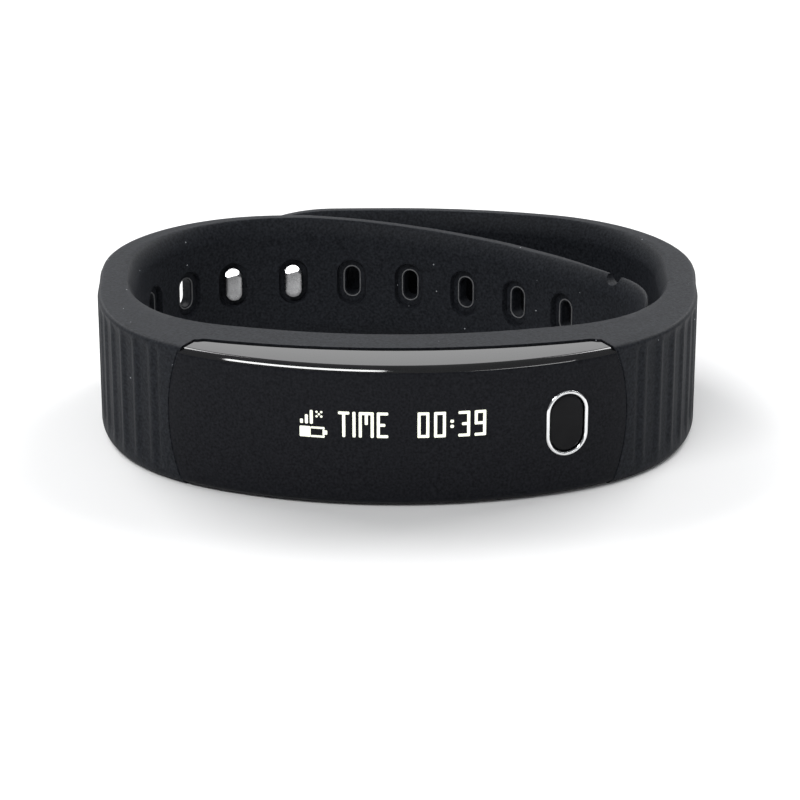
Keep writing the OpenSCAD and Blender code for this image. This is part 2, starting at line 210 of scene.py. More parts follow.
def smooth(piece, angle=32):
    piece.data.shade_smooth()
    piece.data.set_sharp_from_angle(angle=math.radians(angle))


def loft(rings, cap=True):
    """Quads between closed rings that have the same number of points, with flat caps."""
    n = len(rings[0])
    verts = [p for ring in rings for p in ring]
    faces = [
        [r * n + i, r * n + (i + 1) % n, (r + 1) * n + (i + 1) % n, (r + 1) * n + i]
        for r in range(len(rings) - 1)
        for i in range(n)
    ]
    if cap:
        faces += [list(range(n))[::-1], [(len(rings) - 1) * n + i for i in range(n)]]
    return verts, faces


def racetrack(w, h, n=12):
    """Outline of a slot w wide and h tall round the origin, with round top and bottom."""
    r = w / 2
    up = [(r * cosd(180 * i / n), h / 2 - r + r * sind(180 * i / n)) for i in range(n + 1)]
    return up + [(-x, -z) for x, z in up]


def placed(x, z, y, at, lean, height):
    """A point of a racetrack at depth y, in the frame that stands at `at`, turned by lean."""
    return at[0] + x * cosd(lean) - y * sind(lean), at[1] + x * sind(lean) + y * cosd(lean), height + z


def racetrack_loft(layers, at, lean, height, n=12):
    """Layers of (width, height, depth), lofted square to the face they stand in."""
    return loft([[placed(x, z, y, at, lean, height) for x, z in racetrack(w, h, n)] for w, h, y in layers])


# ---- the band's soft section ----
UPPER_EDGE_R = 0.45
LOWER_EDGE_R = 0.9
BEVEL_D = 1.0
BEVEL_H = 2.0
FACE_STEPS = 9
CORNER_STEPS = 6
BEVEL_AT = (0, 0.015, 0.05, 0.12, 0.24, 0.4, 0.58, 0.76, 0.9, 1)
PLATEAU_AT = (0.97, 0.8, 0.6, 0.4, 0.2, 0)


def eased(x):
    """How far the wrist side has sloped, from 0 at its outline to 1 at its plateau: round at both ends."""
    return 1 - (1 - min(1.0, x) ** 0.75) ** 1.3


def section(t, half, bevel, edge, edge_r):
    """Half of a strap's section, from the middle of its outer face over the top to the middle of the
    wrist side: (depth from the outer face, height above the middle). edge(height) is how far a point is
    from the strap's outline, and the wrist side slopes to a plateau within BEVEL_H of it."""
    r = min(edge_r, 0.36 * t, 0.8 * half)
    drop = min(BEVEL_H, 0.7 * half)
    points = [(0.0, (half - r) * i / FACE_STEPS) for i in range(FACE_STEPS)]
    points += [
        (r - r * cosd(90 * i / CORNER_STEPS), half - r + r * sind(90 * i / CORNER_STEPS))
        for i in range(CORNER_STEPS + 1)
    ]
    points += [(r + (t - bevel - r) * f, half) for f in (0.25, 0.5, 0.75)]
    heights = [half - drop * f for f in BEVEL_AT] + [(half - drop) * f for f in PLATEAU_AT]
    points += [(t - bevel * (1 - eased(edge(h) / BEVEL_H)), h) for h in heights]
    return points


FLUTE_PITCH = 2.64
FLUTE_D = 0.22
FIRST_RIDGE = math.radians(46) * SHOULDER_R
FLUTES_FROM = math.radians(49.2) * SHOULDER_R
FLUTES_TO = -9.0
OUTER_POINTS = FACE_STEPS + CORNER_STEPS + 1


def flute(a, z):
    """Depth of the flank's grooves at distance a before the straight flank, and at height z."""
    across = ((FIRST_RIDGE - a) / FLUTE_PITCH) % 1
    depth = 1 - ramp(abs(2 * across - 1), 0.4, 0.96)
    ends = ramp(a, FLUTES_FROM, FLUTES_FROM - 0.6) * ramp(a, FLUTES_TO, FLUTES_TO + 2.5)
    return FLUTE_D * depth * ends * ramp(z, 0.9, 2.4) * ramp(BAND_H - z, 0.45, 1.1)


def draw_in(y):
    """How far the outer face of the flanks lies inside the straight line, between shoulder and corner."""
    return 0.5 * ramp(y, -19, -6) * ramp(y, 4.5, -3)


def ring_points(outer, inward, t, half, bevel, flute_a=None, edge=None):
    """A whole section in space. outer is the plan point of the outer face, inward the direction to the
    wrist side, and flute_a the distance that flute() reads."""
    edge = edge or (lambda h: half - h)
    upper = section(t, half, bevel, edge, UPPER_EDGE_R)
    lower = section(t, half, bevel, edge, LOWER_EDGE_R)
    both = [(i, u, h) for i, (u, h) in enumerate(upper)]
    both += [(i, u, -h) for i, (u, h) in list(enumerate(lower))[-2:0:-1]]
    points = []
    for i, u, h in both:
        if flute_a is not None and i < OUTER_POINTS:
            u += flute(flute_a, MID_Z + h)
        x, y = outer[0] + inward[0] * u, outer[1] + inward[1] * u
        points.append((x - math.copysign(draw_in(y), x) * (1 - 0.8 * u / t), y, MID_Z + h))
    return points


def to_circle(p, d, circle):
    """Distance from p along d to the near side of a circle seen from inside the band's wall."""
    x, y, r = circle
    px, py = p[0] - x, p[1] - y
    b = px * d[0] + py * d[1]
    return -b - math.sqrt(b * b - px * px - py * py + r * r)


CRADLE_STRETCHES = (
    (math.radians(FRONT_SWEEP) * FRONT_R, FRONT_SWEEP),
    (math.radians(90 - FRONT_SWEEP) * SHOULDER_R, 90 - FRONT_SWEEP),
    (HINGE_Y - SHOULDER_C[1], 0.0),
)
CRADLE_L = sum(length for length, _ in CRADLE_STRETCHES)


def cradle_ring(a, side):
    """Section of the cradle at distance a from its middle; side is 1 on the right and -1 on the left."""
    x, y, heading = along((0.0, FRONT_Y, 0.0), CRADLE_STRETCHES, a)
    inward = (-sind(heading), cosd(heading))
    t = to_circle((x, y), inward, WRIST_FRONT)
    hit = (x + inward[0] * t, y + inward[1] * t)
    if math.degrees(math.atan2(hit[0], WRIST_FRONT[1] - hit[1])) > WRIST_FRONT_SWEEP:
        t = to_circle((x, y), inward, WRIST_SIDE)
    bevel = 0.3 + (BEVEL_D - 0.3) * ramp(a, 16, 34)
    before_flank = CRADLE_L - (HINGE_Y - SHOULDER_C[1]) - a
    return ring_points((side * x, y), (side * inward[0], inward[1]), t, MID_Z, bevel, before_flank)


def slotted_at(s):
    x, y, heading = along(SLOTTED_START, SLOTTED_STRETCHES, s)
    return (x, y), (-sind(heading), cosd(heading)), look(s, SLOTTED_T)


def strap_bevel(t):
    return min(BEVEL_D, 0.6 * t)


def tip_edge(beyond, length, full, half):
    """Distance to the outline inside a strap's elliptic end, `beyond` millimetres past where it starts."""
    def edge(h):
        share = math.hypot(beyond / length, h / full)
        if beyond <= 0 or share < 1e-6:
            return half - h
        return min(half - h + beyond, math.hypot(beyond, h) * max(0.0, 1 - share) / share)

    return edge


def slotted_ring(s, half=None, edge=None):
    (x, y), left, t = slotted_at(s)
    half = half or MID_Z - look(s, SLOTTED_DROP)
    before_flank = SHOULDER_C[1] - HINGE_Y - s
    return ring_points((x + left[0] * t / 2, y + left[1] * t / 2), (-left[0], -left[1]), t, half,
                       strap_bevel(t), before_flank, edge)


def clasp_ring(s, half=MID_Z, edge=None):
    x, y, heading = along(CLASP_START, CLASP_STRETCHES, s)
    t = look(s, CLASP_T)
    before_flank = SHOULDER_C[1] - HINGE_Y - s
    return ring_points((x, y), (-sind(heading), cosd(heading)), t, half, strap_bevel(t), before_flank, edge)


def spaced(low, high, step):
    n = math.ceil((high - low) / step - 1e-9)
    return [low + (high - low) * i / n for i in range(n + 1)]


FLUTE_STEP = 0.24
PLAIN_STEP = 0.8
TIP_STEPS = 16
TIP_LAST = 86.0


def half_band(name, side, strap_ring):
    """The band from behind the tracker core to just past one flank."""
    fluted_from = CRADLE_L - (HINGE_Y - SHOULDER_C[1]) - FLUTES_FROM - 1
    rings = [cradle_ring(a, side) for a in spaced(0, fluted_from, PLAIN_STEP)[:-1]]
    rings += [cradle_ring(a, side) for a in spaced(fluted_from, CRADLE_L, FLUTE_STEP)[:-1]]
    rings += [strap_ring(s) for s in spaced(0, SEAM_S, FLUTE_STEP)]
    return make_piece(name, *loft(rings))


def strap(name, ring, tip_s, tip_l, half_at):
    """A strap from the seam to its elliptic tip."""
    start = tip_s - tip_l
    rings = [ring(s) for s in spaced(SEAM_S, start, PLAIN_STEP)]
    for i in range(1, TIP_STEPS + 1):
        angle = TIP_LAST * i / TIP_STEPS
        beyond = tip_l * sind(angle)
        full = half_at(start + beyond)
        half = full * cosd(angle)
        rings.append(ring(start + beyond, half, tip_edge(beyond, tip_l, full, half)))
    return make_piece(name, *loft(rings))


# ---- the tracker core's curved faces ----
def front_y(x, depth=0.0):
    """Y of the band's front, `depth` under its face."""
    x = abs(x)
    if x <= (FRONT_R - depth) * sind(FRONT_SWEEP):
        return FRONT_C[1] - math.sqrt((FRONT_R - depth) ** 2 - x * x)
    return SHOULDER_C[1] - math.sqrt((SHOULDER_R - depth) ** 2 - (x - SHOULDER_C[0]) ** 2)


def round_y(x, circle, grow=0.0):
    return circle[1] - math.sqrt((circle[2] + grow) ** 2 - x * x)


def end_x(z, inset):
    """Half width of the core's bowed outline at a height."""
    return CORE_HALF_W - CORE_END_R + math.sqrt((CORE_END_R - inset) ** 2 - (z - MID_Z) ** 2)


FACET = (28, 42)


def edge_profile(z, r, low, high):
    """Front profile (height, depth) with edges of radius r. It starts `low` degrees round the lower edge and
    ends `high` degrees round the upper one, which has a flat polished facet."""
    lower = [(z[0] + r * (1 - sind(a)), r * (1 - cosd(a))) for a in range(low, 0, -10)]
    angles = [a for a in (10, 20, *FACET, 50, 60, 70, 80, 90) if a <= high]
    upper = [(z[1] - r * (1 - sind(a)), r * (1 - cosd(a))) for a in angles]
    if high > FACET[1]:
        (z0, d0), (z1, d1) = upper[2:4]
        upper[3:3] = [(z0 + (z1 - z0) * f, d0 + (d1 - d0) * f) for f in (0.15, 0.85)]
    return lower + [(level, 0.0) for level in spaced(z[0] + r, z[1] - r, 1.2)] + upper


def plain_profile(z):
    return [(level, 0.0) for level in spaced(z[0], z[1], 1.2)]


def core_slab(front, back, profile, inset, slant=0.0, corner=0.0):
    """A slab from front(x, depth) to back(x) inside the core's bowed outline, drawn in by inset. Its ends
    slant in by slant towards the back, where their corners are rounded by about `corner`."""
    rings = []
    for f in np.linspace(-1, 1, 89):
        xs = [f * end_x(level, inset) for level, _ in profile]
        face = [(x, front(x, depth), level) for x, (level, depth) in zip(xs, profile)]
        near_end = ramp(abs(f), 0.85, 1)
        behind = [x * (1 - slant * near_end / CORE_HALF_W) for x in xs]
        far = [(x, back(x) - corner * near_end**4, level) for x, (level, _) in zip(behind, profile)]
        rings.append(face + far[::-1])
    verts, faces = loft(rings, cap=False)
    n, m = len(rings[0]), len(profile)
    for base in (0, (len(rings) - 1) * n):
        faces += [[base + i, base + i + 1, base + n - 2 - i, base + n - 1 - i] for i in range(m - 1)]
    return verts, faces


def box_between(x, front, back, z, x_step=1.0):
    """A block from front(x) to back(x) over straight limits of x and z."""
    rings = [[(a, front(a), z[0]), (a, back(a), z[0]), (a, back(a), z[1]), (a, front(a), z[1])]
             for a in spaced(x[0], x[1], x_step)]
    return loft(rings)


# ---- materials ----
def node(tree, kind, inputs=(), **props):
    made = tree.nodes.new(kind)
    for key, value in props.items():
        setattr(made, key, value)
    for key, value in dict(inputs).items():
        if isinstance(value, bpy.types.NodeSocket):
            tree.links.new(value, made.inputs[key])
        else:
            made.inputs[key].default_value = value
    return made


def noise(tree, size, detail=2.0, stretch=(1, 1, 1)):
    """Noise with features about `size` millimetres across."""
    at = node(tree, "ShaderNodeTexCoord").outputs["Object"]
    scaled = node(tree, "ShaderNodeMapping", {"Vector": at, "Scale": stretch}).outputs[0]
    inputs = {"Vector": scaled, "Scale": 1 / (size * MM), "Detail": detail}
    return node(tree, "ShaderNodeTexNoise", inputs).outputs["Fac"]


def between(tree, fac, low, high, a=0.3, b=0.7):
    """fac from a to b becomes a number from low to high."""
    return node(tree, "ShaderNodeMapRange",
                {"Value": fac, "From Min": a, "From Max": b, "To Min": low, "To Max": high}).outputs[0]


def mixed(tree, fac, a, b):
    """Colours a and b, each a socket or three numbers, mixed by fac."""
    made = node(tree, "ShaderNodeMix", {"Factor": fac}, data_type="RGBA")
    for socket, colour in zip([i for i in made.inputs if i.type == "RGBA"], (a, b)):
        if isinstance(colour, bpy.types.NodeSocket):
            tree.links.new(colour, socket)
        else:
            socket.default_value = (*colour, 1)
    return [o for o in made.outputs if o.type == "RGBA"][0]


def surface(name, dark, light, rough, patch=3.0, grain=0.12, bump=0.004, stretch=(1, 1, 1), **fixed):
    """A Principled material: its colour wanders from dark to light over patches, its roughness over half
    that, and fine grain raises it by bump millimetres. fixed names other sockets, with _ for spaces."""
    material = bpy.data.materials.new(name)
    material.use_nodes = True
    tree = material.node_tree
    shader = tree.nodes["Principled BSDF"]
    for key, value in fixed.items():
        shader.inputs[key.replace("_", " ")].default_value = value
    base = mixed(tree, between(tree, noise(tree, patch, 3, stretch), 0, 1), dark, light)
    tree.links.new(base, shader.inputs["Base Color"])
    tree.links.new(between(tree, noise(tree, patch / 2, 4, stretch), *rough), shader.inputs["Roughness"])
    height = noise(tree, grain, 2, stretch)
    raised = node(tree, "ShaderNodeBump", {"Height": height, "Distance": bump * MM, "Strength": 1.0})
    tree.links.new(raised.outputs[0], shader.inputs["Normal"])
    return material


def colour_link(material):
    """The tree, its shader and the socket that feeds the base colour."""
    tree = material.node_tree
    shader = tree.nodes["Principled BSDF"]
    return tree, shader, shader.inputs["Base Color"].links[0].from_socket


def specks(material, cell, radius, share, colour):
    """Small light specks of dust, in a share of the cells."""
    tree, shader, base = colour_link(material)
    at = node(tree, "ShaderNodeTexCoord").outputs["Object"]
    cells = node(tree, "ShaderNodeTexVoronoi", {"Vector": at, "Scale": 1 / (cell * MM)})
    near = node(tree, "ShaderNodeMath", {0: cells.outputs["Distance"], 1: radius / cell},
                operation="LESS_THAN")
    pick = node(tree, "ShaderNodeSeparateColor", {"Color": cells.outputs["Color"]}).outputs[0]
    few = node(tree, "ShaderNodeMath", {0: pick, 1: 1 - share}, operation="GREATER_THAN")
    both = node(tree, "ShaderNodeMath", {0: near.outputs[0], 1: few.outputs[0]}, operation="MULTIPLY")
    tree.links.new(mixed(tree, both.outputs[0], base, colour), shader.inputs["Base Color"])


silicone = surface("silicone", (0.0066, 0.0076, 0.0098), (0.0225, 0.0248, 0.030), (0.5, 0.62), patch=0.26,
                   grain=0.17, bump=0.02, Specular_IOR_Level=0.09)
specks(silicone, 1.5, 0.07, 0.45, (0.42, 0.44, 0.47))
# light grey silicone for the slot rim beads: the light grey is a painted highlight, standing in for the line
# of light round each slot, not a colour the black silicone has
silicone_painted_highlight = surface("silicone_painted_highlight", (0.12, 0.122, 0.126), (0.17, 0.172, 0.178), (0.4, 0.55), patch=0.5,
                        Specular_IOR_Level=0.4)
gloss = surface("gloss_black", (0.004, 0.004, 0.0045), (0.006, 0.006, 0.0065), (0.05, 0.09), grain=0.3,
                bump=0.0002, Specular_IOR_Level=0.9)
window = surface("smoked_window", (0.0055, 0.0059, 0.0077), (0.0145, 0.0153, 0.0185), (0.3, 0.38), patch=0.24,
                 grain=0.14, bump=0.0025, Specular_IOR_Level=0.06)
pad_black = surface("pad_black", (0.006, 0.006, 0.007), (0.01, 0.01, 0.011), (0.3, 0.4), grain=0.1,
                    bump=0.001, Specular_IOR_Level=0.1)
chrome = surface("ring_chrome", (0.82, 0.83, 0.84), (0.9, 0.9, 0.9), (0.05, 0.12), grain=0.25, bump=0.0002,
                 Metallic=1.0)
steel = surface("clasp_metal", (0.34, 0.34, 0.345), (0.46, 0.46, 0.465), (0.22, 0.3), patch=1.2, grain=0.2,
                bump=0.0015, Metallic=1.0)
plate_steel = surface("brushed_plate", (0.5, 0.5, 0.51), (0.66, 0.66, 0.67), (0.24, 0.36), patch=1.5,
                      grain=0.06, bump=0.002, stretch=(0.06, 0.06, 1), Metallic=1.0)
case_black = surface("case_black", (0.016, 0.016, 0.018), (0.024, 0.024, 0.026), (0.5, 0.62), grain=0.09,
                     bump=0.006)
seal_grey = surface("seal_grey", (0.045, 0.045, 0.05), (0.06, 0.06, 0.065), (0.55, 0.7), bump=0.005)
display_glass = surface("display_glass", (0.015, 0.02, 0.03), (0.03, 0.035, 0.045), (0.05, 0.12), bump=0.0004)
ribbon = surface("ribbon", (0.38, 0.14, 0.02), (0.5, 0.21, 0.04), (0.25, 0.35), patch=1.0, stretch=(4, 1, 1))
board_green = surface("board_green", (0.012, 0.08, 0.035), (0.03, 0.14, 0.06), (0.25, 0.4), patch=0.8,
                      grain=0.3)
chip_black = surface("chip_black", (0.015, 0.015, 0.015), (0.025, 0.025, 0.025), (0.45, 0.6), patch=1.0,
                     bump=0.003)
ceramic = surface("ceramic", (0.52, 0.48, 0.4), (0.62, 0.58, 0.5), (0.35, 0.5), patch=0.8)
spring_steel = surface("spring_steel", (0.42, 0.43, 0.45), (0.56, 0.57, 0.59), (0.2, 0.32), patch=1.0,
                       Metallic=1.0)
battery_foil = surface("battery_foil", (0.45, 0.47, 0.5), (0.6, 0.62, 0.65), (0.22, 0.4), patch=2.5,
                       grain=0.7, bump=0.02, Metallic=0.9)
contact_gold = surface("contact_gold", (0.75, 0.5, 0.18), (0.88, 0.62, 0.28), (0.12, 0.22), patch=0.6,
                       Metallic=1.0)
rotor_weight = surface("rotor_weight", (0.3, 0.24, 0.13), (0.42, 0.34, 0.2), (0.3, 0.45), patch=0.7,
                       Metallic=1.0)

CAD_FINISH = {
    "rear_case": case_black,
    "case_seal": seal_grey,
    "display_panel": display_glass,
    "display_ribbon": ribbon,
    "main_board": board_green,
    "processor_chip": chip_black,
    "motion_sensor": chip_black,
    "chip_antenna": ceramic,
    "button_dome": spring_steel,
    "battery_cell": battery_foil,
    "charging_contacts": contact_gold,
    "motor_can": spring_steel,
    "motor_rotor": rotor_weight,
}


def dress(piece, material, angle=32):
    piece.data.materials.clear()
    piece.data.materials.append(material)
    smooth(piece, angle)


for name, material in CAD_FINISH.items():
    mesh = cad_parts[name].data
    mesh.materials.clear()
    mesh.materials.append(material)


# ---- soft pieces ----
END_SLANT = 1.2  # how far the core's ends lean in towards its back, and how round their back corners are
END_CORNER = 0.5


def core_cutters():
    """The recess for the core's crescent, its mouth at the front, and the pocket for the core's boss."""
    tall = plain_profile((-1.0, BAND_H + 1))
    recess = core_slab(lambda x, d: front_y(x, -TOUCH), lambda x: round_y(x, CRESCENT, -SNUG), tall, -SNUG,
                       END_SLANT, END_CORNER)
    mouth = core_slab(lambda x, d: front_y(x, -0.6), lambda x: front_y(x, 0.1), tall, -SNUG - 0.7, 0.7)
    pocket = box_between(
        (-BOSS_HALF_W - GAP, BOSS_HALF_W + GAP),
        lambda x: round_y(x, CRESCENT) - 2,
        lambda x: round_y(x, (WRIST_FRONT[0], WRIST_FRONT[1], BOSS_BACK_R), -GAP),
        (BOSS_Z[0] - GAP, BOSS_Z[1] + GAP),
    )
    return recess, mouth, pocket


RIM_R = 0.07
RIM_OFF = 0.16
SLOT_EASE = 0.12
FLARED_SLOTS = (0, 1)  # these widen to FLARE on the strap's outer side, beyond SLOT_WALL of straight wall
SLOT_WALL = 0.9
FLARE = (3.0, 5.0)


def slot_cutter(k):
    """A slot through the strap and its recess, with the recess's edge and the slot's rim eased."""
    s = slot_s(k)
    x, y, heading = along(SLOTTED_START, SLOTTED_STRETCHES, s)
    t = look(s, SLOTTED_T)
    floor = -t / 2 + RECESS_D
    layers = [
        (RECESS[0] + 2 * SLOT_EASE, RECESS[1] + 2 * SLOT_EASE, -t),
        (RECESS[0] + 2 * SLOT_EASE, RECESS[1] + 2 * SLOT_EASE, -t / 2 - 0.01),
        (RECESS[0], RECESS[1], -t / 2 + 2 * SLOT_EASE),
        (RECESS[0], RECESS[1], floor),
        (SLOT[0] + 2 * SLOT_EASE, SLOT[1] + 2 * SLOT_EASE, floor + 0.005),
        (SLOT[0], SLOT[1], floor + SLOT_EASE),
    ]
    if k in FLARED_SLOTS:
        layers += [(SLOT[0], SLOT[1], floor + SLOT_WALL), (*FLARE, floor + SLOT_WALL + 0.4), (*FLARE, t)]
    else:
        layers += [(SLOT[0], SLOT[1], t)]
    return racetrack_loft(layers, (x, y), PEG_TILT if k in PEG_SLOTS else heading, MID_Z)


def slot_rim(k):
    """A fine raised bead round a slot's mouth, on the floor of its recess. Its light grey colour is a painted
    highlight for the line of light round the slot, not the band's own colour.
    """
    s = slot_s(k)
    x, y, heading = along(SLOTTED_START, SLOTTED_STRETCHES, s)
    lean = PEG_TILT if k in PEG_SLOTS else heading
    floor = -look(s, SLOTTED_T) / 2 + RECESS_D
    profile = [(RIM_R * cosd(a), -RIM_R * sind(a)) for a in range(0, 360, 45)]
    layers = []
    for out, up in profile:
        grow = 2 * (RIM_OFF + out)
        line = racetrack(SLOT[0] + grow, SLOT[1] + grow, 10)
        layers.append([placed(px, pz, floor + up, (x, y), lean, MID_Z) for px, pz in line])
    n = len(layers[0])
    verts = [p for layer in layers for p in layer]
    faces = [[j * n + i, j * n + (i + 1) % n, (j + 1) % 8 * n + (i + 1) % n, (j + 1) % 8 * n + i]
             for j in range(8) for i in range(n)]
    return verts, faces


def notch_cutter():
    x, y, heading = along(SLOTTED_START, SLOTTED_STRETCHES, NOTCH_S)
    top = BAND_H - look(NOTCH_S, SLOTTED_DROP)
    ring = [(NOTCH_R * cosd(a), NOTCH_R * sind(a)) for a in range(0, 360, 15)]
    return loft([[placed(u, w, depth, (x, y), heading, top) for u, w in ring] for depth in (-2, 2)])


def peg_layers(k):
    """Peg place, and its head's wrist face and outer end measured outwards from the strap's middle."""
    x, y, _ = along(SLOTTED_START, SLOTTED_STRETCHES, slot_s(PEG_SLOTS[k]))
    head = -look(slot_s(PEG_SLOTS[k]), SLOTTED_T) / 2 + RECESS_D - GAP
    reach = (PLATE_MID[0] - x) * -sind(PEG_TILT) + (PLATE_MID[1] - y) * cosd(PEG_TILT)
    return (x, y), head, reach + PLATE_T - PLATE_SINK - GAP


def plate_loft(layers, n=14):
    """Layers of (length, height, depth) of the clasp plate, lying along the strap."""
    rings = []
    for length, height, depth in layers:
        line = racetrack(height, length, n)
        rings.append([placed(z, x, depth, PLATE_MID, PEG_TILT, MID_Z) for x, z in line])
    return loft(rings)


def peg_hole(k, grow):
    at, _, _ = peg_layers(k)
    size = (PEG[0] + grow, PEG[1] + grow)
    return racetrack_loft([(*size, 0.5), (*size, 7)], at, PEG_TILT, MID_Z)


band_left = half_band("band_left_half", -1, slotted_ring)
band_right = half_band("band_right_half", 1, clasp_ring)
slotted = strap("slotted_strap_skin", slotted_ring, SLOTTED_TIP_S, SLOTTED_TIP_L,
                lambda s: MID_Z - look(s, SLOTTED_DROP))
clasp = strap("clasp_strap_skin", clasp_ring, CLASP_TIP_S, CLASP_TIP_L, lambda s: MID_Z)
for half in (band_left, band_right):
    for shape in core_cutters():
        cut(half, [shape])
cut(slotted, [slot_cutter(k) for k in range(SLOT_COUNT)])
cut(slotted, [notch_cutter()])
plate_size = (PLATE[0] + 2 * TOUCH, PLATE[1] + 2 * TOUCH)
plate_room = plate_loft([(*plate_size, -PLATE_SINK - TOUCH), (*plate_size, 3)])
cut(clasp, [plate_room])
cut(clasp, [peg_hole(k, 2 * TOUCH) for k in (0, 1)])
# the rim beads carry a painted highlight: their light grey colour stands for light caught round each slot's
# mouth
rims = joined("slot_rims_painted_highlight", [slot_rim(k) for k in range(SLOT_COUNT) if k not in PEG_SLOTS])
for piece in (band_left, band_right, slotted, clasp):
    dress(piece, silicone)
dress(rims, silicone_painted_highlight)
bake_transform(band_left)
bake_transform(band_right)
TAIL_BEND_S = 57.0
tail = along(SLOTTED_START, SLOTTED_STRETCHES, TAIL_BEND_S)
for piece in (slotted, rims):
    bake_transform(piece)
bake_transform(clasp)
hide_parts("band_cradle")
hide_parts("band_cradle")
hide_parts("slotted_strap", "slotted_strap_catch", "slotted_strap_middle", "slotted_strap_tail")
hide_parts("clasp_strap", "clasp_strap_end")


# ---- clasp ----
def crown(w, h, base, rise, inset, steps=7):
    """Layers of a racetrack that rounds over from its full size at base to its crown."""
    return [
        (w - 2 * inset * (1 - cosd(90 * i / steps)), h - 2 * inset * (1 - cosd(90 * i / steps)),
         base + rise * sind(90 * i / steps))
        for i in range(steps + 1)
    ]


GRIND = 0.66  # how steeply the top of a peg's head is ground, as a slope
GRIND_LEAN = 9.0
GRIND_RUN = 0.95


def peg_shape(k):
    at, head, end = peg_layers(k)
    shaft = [(PEG[0] - 0.2, PEG[1] - 0.2, end), (*PEG, end - 0.1), (*PEG, head)]
    back = [(PEG_HEAD[0] - 0.2, PEG_HEAD[1] - 0.2, head - 0.001), (*PEG_HEAD, head - 0.08)]
    crowned = crown(*PEG_HEAD, head - PEG_HEAD_T + 0.3, -0.3, 0.5)
    return racetrack_loft(shaft + back + crowned, at, PEG_TILT, MID_Z, 16)


def peg_wedge(k):
    """What is ground off the top of a peg's head."""
    at, head, _ = peg_layers(k)
    face = head - PEG_HEAD_T
    top = PEG_HEAD[1] / 2 + 0.2
    foot = (top - GRIND_RUN - 0.5, face - 0.5 * GRIND)
    outline = [foot, (top, face + GRIND_RUN * GRIND), (top, face - 1.5)]
    return loft([[placed(x, z, y, at, PEG_TILT - GRIND_LEAN, MID_Z) for z, y in outline] for x in (-2, 2)])


pegs = joined("clasp_pegs_turned", [peg_shape(0), peg_shape(1)])
for k in (0, 1):
    cut(pegs, [peg_wedge(k)])
dress(pegs, steel, 24)
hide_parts("clasp_pegs")
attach(pegs, "clasp_end")

under = -PLATE_SINK
plate = make_piece("clasp_plate_pressed", *plate_loft(
    [(PLATE[0] - 0.2, PLATE[1] - 0.2, under), (*PLATE, under + 0.1)]
    + crown(*PLATE, PLATE_T - PLATE_SINK - 0.3, 0.3, 0.35)))
cut(plate, [peg_hole(k, 2 * TOUCH) for k in (0, 1)])
dress(plate, plate_steel)
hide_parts("clasp_plate")
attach(plate, "clasp_end")


# ---- tracker core ----
def crescent_back(x):
    return round_y(x, CRESCENT)


WINDOW_DEPTH = 0.8
WINDOW_EDGES = (80, 20)  # how far round the cover's lower and upper edges the window reaches
hole_size = (RING[0] + TOUCH, RING[1] + TOUCH)
button_hole = racetrack_loft([(*hole_size, -1), (*hole_size, 4)], BUTTON_AT, BUTTON_LEAN, BUTTON_Z, 20)
cover = make_piece("front_cover_moulded", *core_slab(
    front_y, crescent_back, edge_profile(CORE_Z, COVER_EDGE_R, 90, 90), 0, END_SLANT, END_CORNER))
room = plain_profile((CORE_Z[0] + COVER_T, CORE_Z[1] - COVER_T))
cut(cover, [core_slab(lambda x, d: front_y(x, COVER_T), lambda x: crescent_back(x) + 1, room, 2.0)])
window_profile = edge_profile(CORE_Z, COVER_EDGE_R, *WINDOW_EDGES)
ends = [window_profile[0][0], window_profile[-1][0]]
cut(cover, [core_slab(lambda x, d: front_y(x, -1), lambda x: front_y(x, WINDOW_DEPTH), plain_profile(ends),
                      -0.2)])
cut(cover, [button_hole])
dress(cover, gloss)
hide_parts("front_cover")
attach(cover, "tracker_core")

face = make_piece("window_face", *core_slab(front_y, lambda x: front_y(x, WINDOW_DEPTH), window_profile, 0))
cut(face, [button_hole])
dress(face, window)
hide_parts("display_window")
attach(face, "tracker_core")


def ring_bead():
    """The metal ring: a half-round bead outside, straight walls down into the cover."""
    r = RING_LINE / 2
    profile = [(r, 0.9), (r, 0.0)] + [(r * cosd(a), -0.17 * sind(a)) for a in range(15, 180, 15)]
    profile += [(-r, 0.0), (-r, 0.9)]
    rings = []
    for i in range(len(racetrack(1, 2, 24))):
        ring = []
        for off, depth in profile:
            x, z = racetrack(RING[0] - RING_LINE + 2 * off, RING[1] - RING_LINE + 2 * off, 24)[i]
            ring.append(placed(x, z, depth, BUTTON_AT, BUTTON_LEAN, BUTTON_Z))
        rings.append(ring)
    verts, faces = loft(rings + [rings[0]], cap=False)
    n = len(profile)
    keep = len(rings) * n
    return verts[:keep], [[i % keep for i in f] for f in faces]


bead = make_piece("button_ring_bead", *ring_bead())
dress(bead, chrome)
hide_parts("button_ring")
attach(bead, "tracker_core")

PAD_GAP = 0.06
PAD = (RING[0] - 2 * RING_LINE - 2 * PAD_GAP, RING[1] - 2 * RING_LINE - 2 * PAD_GAP)
PAD_SINK = 0.28  # depth at which the pad's edge starts to round over
FLANGE = (PAD[0] + 0.4, PAD[1] + 0.4)
FLANGE_Y = (1.06, 1.31)  # the flange's front and back, behind the ring
STEM = (1.0, 1.01)
STEM_END = (BOARD_FRONT_Y - DOME_H - TOUCH - BUTTON_AT[1]) / cosd(BUTTON_LEAN) - STEM[0] / 2 * math.tan(
    math.radians(BUTTON_LEAN))
pad = make_piece("button_pad_moulded", *racetrack_loft(
    crown(*PAD, PAD_SINK, -PAD_SINK, 0.3)[::-1]
    + [(*PAD, FLANGE_Y[0]), (*FLANGE, FLANGE_Y[0] + 0.001), (*FLANGE, FLANGE_Y[1])]
    + [(*STEM, FLANGE_Y[1] + 0.001), (*STEM, STEM_END)],
    BUTTON_AT, BUTTON_LEAN, BUTTON_Z, 24))
dress(pad, pad_black)
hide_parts("button_pad")
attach(pad, "button")

# ---- lit display: strokes on the dot grid, from the left of the text, in dots ----
DOT = 0.222
TEXT_X = -5.59
TEXT_Z = 7.08
TEXT_TOP = 11.5
STROKE = 1.3
LIT_ROUND = 0.45
GLOW = 0.75


